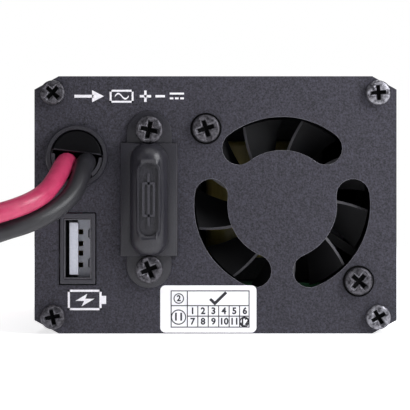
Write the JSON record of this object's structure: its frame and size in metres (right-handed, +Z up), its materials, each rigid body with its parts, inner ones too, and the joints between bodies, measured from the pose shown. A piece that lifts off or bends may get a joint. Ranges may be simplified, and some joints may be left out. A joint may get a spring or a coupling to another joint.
{
  "type": "power inverter",
  "caption": "Small ribbed-case power inverter with a fan, USB outlet, fuse cover and strain relief on its DC end, mains outlet and rocker switch on its AC end, and battery clamp leads.",
  "frame": {"origin": "centre of the case's flat base", "axes": "+X to the right when facing the DC end panel, +Y from the DC end to the AC end, +Z up"},
  "size_m": [0.1696, 0.1869, 0.054],
  "materials": {
    "case_coat": "satin black anodised and painted aluminium extrusion",
    "panel_coat": "fine-texture black powder coat",
    "zinc": "zinc-plated steel, some heads worn",
    "black_nylon": "moulded black nylon",
    "usb_black": "moulded dark grey plastic",
    "tin": "tin-plated steel",
    "white_plastic": "white plastic",
    "gold": "plated brass contact",
    "board_green": "green solder mask on glass-fibre board",
    "cover_black": "matt black moulded plastic",
    "fuse_orange": "clear orange plastic",
    "fan_black": "black moulded plastic",
    "steel": "bright steel",
    "ferrite": "dark ferrite",
    "copper": "enamelled copper wire",
    "yellow_tape": "yellow polyester tape",
    "can_blue": "dark blue capacitor sleeve",
    "can_black": "black capacitor sleeve",
    "chip_black": "black epoxy moulding",
    "bare_aluminium": "milled aluminium bar",
    "label_white": "white paper label",
    "red_rubber": "red wire insulation, satin",
    "black_rubber": "black wire insulation, satin",
    "outlet_black": "glossy black plastic",
    "lamp_green": "green lens",
    "clamp_copper": "copper-plated steel",
    "red_grip": "red vinyl grip",
    "black_grip": "black vinyl grip",
    "spring_steel": "spring steel",
    "tie_black": "black nylon cable tie"
  },
  "bodies": {
    "inverter": {"case_tube": "case_coat", "dc_end_panel": "panel_coat", "ac_end_panel": "panel_coat", "dc_panel_screws": "zinc", "ac_panel_screws": "zinc", "strain_relief_body": "black_nylon", "strain_relief_wedge": "black_nylon", "usb_surround": "usb_black", "usb_shell": "tin", "usb_tongue": "white_plastic", "usb_contacts": "gold", "usb_board": "board_green", "fuse_cover": "cover_black", "fuse_cover_screws": "zinc", "fuse_holder": "chip_black", "blade_fuse": "fuse_orange", "fuse_blades": "steel", "fan_frame": "fan_black", "fan_bearing": "gold", "fan_stator": "copper", "fan_screws": "zinc", "inspection_label": "label_white", "main_board": "board_green", "transformer_core": "ferrite", "transformer_winding": "yellow_tape", "input_capacitors": "can_blue", "bulk_capacitor": "can_black", "transistors": "chip_black", "transistor_clamps": "bare_aluminium", "filter_choke": "copper", "control_chips": "chip_black", "dc_input_wires": "red_rubber", "ac_output_wires": "black_rubber", "outlet_body": "outlet_black", "outlet_contacts": "gold", "switch_housing": "outlet_black", "switch_terminals": "tin", "power_lamp": "lamp_green", "red_lead": "red_rubber", "black_lead": "black_rubber", "lead_coil": "red_rubber", "coil_tie": "tie_black", "red_tail": "red_rubber", "black_tail": "black_rubber", "red_clamp_fixed_jaw": "clamp_copper", "red_clamp_fixed_grip": "red_grip", "red_clamp_pin": "steel", "red_clamp_spring": "spring_steel", "black_clamp_fixed_jaw": "clamp_copper", "black_clamp_fixed_grip": "black_grip", "black_clamp_pin": "steel", "black_clamp_spring": "spring_steel"},
    "fan_rotor_body": {"fan_rotor": "fan_black", "fan_shaft": "steel", "fan_magnet": "ferrite"},
    "switch_rocker_body": {"switch_rocker": "outlet_black"},
    "red_clamp_jaw": {"red_clamp_moving_jaw": "clamp_copper", "red_clamp_moving_grip": "red_grip"},
    "black_clamp_jaw": {"black_clamp_moving_jaw": "clamp_copper", "black_clamp_moving_grip": "black_grip"}
  },
  "joints": [
    {"name": "fan_spin", "type": "hinge", "parent": "inverter", "child": "fan_rotor_body", "pos_m": [0.014, -0.075, 0.027], "axis": [0, -1, 0], "continuous": true},
    {"name": "switch_rock", "type": "hinge", "parent": "inverter", "child": "switch_rocker_body", "pos_m": [-0.02, 0.0747, 0.031], "axis": [1, 0, 0], "range_deg": [0, 18]},
    {"name": "red_clamp_open", "type": "hinge", "parent": "inverter", "child": "red_clamp_jaw", "pos_m": [-0.07532, 0.046, 0.0058], "axis": [0, 0, 1], "range_deg": [0, 25], "stiffness_Nm_per_rad": 0.12, "springref_deg": -20.05, "deforming": ["red_clamp_spring"]},
    {"name": "black_clamp_open", "type": "hinge", "parent": "inverter", "child": "black_clamp_jaw", "pos_m": [-0.11382, 0.046, 0.0058], "axis": [0, 0, 1], "range_deg": [0, 25], "stiffness_Nm_per_rad": 0.12, "springref_deg": -20.05, "deforming": ["black_clamp_spring"]}
  ]
}
